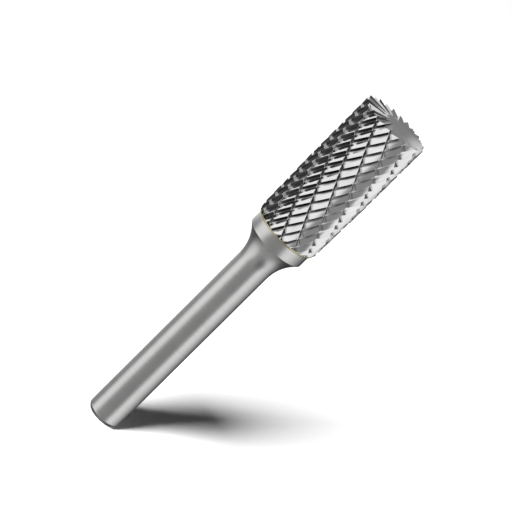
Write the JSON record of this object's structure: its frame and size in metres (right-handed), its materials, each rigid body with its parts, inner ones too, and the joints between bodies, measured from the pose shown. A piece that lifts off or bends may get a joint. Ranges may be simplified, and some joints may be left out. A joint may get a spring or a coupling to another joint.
{
  "type": "carbide burr",
  "caption": "Cylindrical double-cut carbide burr with an end cut, on a plain round steel shank that flares out to a collar behind the head.",
  "frame": {"origin": "centre of the shank's plain end face", "axes": "+Z along the axis from the shank towards the cutting end"},
  "size_m": [0.012, 0.012, 0.068],
  "materials": {
    "shank": "ground and lightly polished, satin",
    "braze_seam": "pale silver braze, slightly dull",
    "cutting_head": "bright ground carbide"
  },
  "bodies": {
    "root": {"shank": "shank", "braze_seam": "braze_seam", "cutting_head": "cutting_head"}
  },
  "joints": []
}
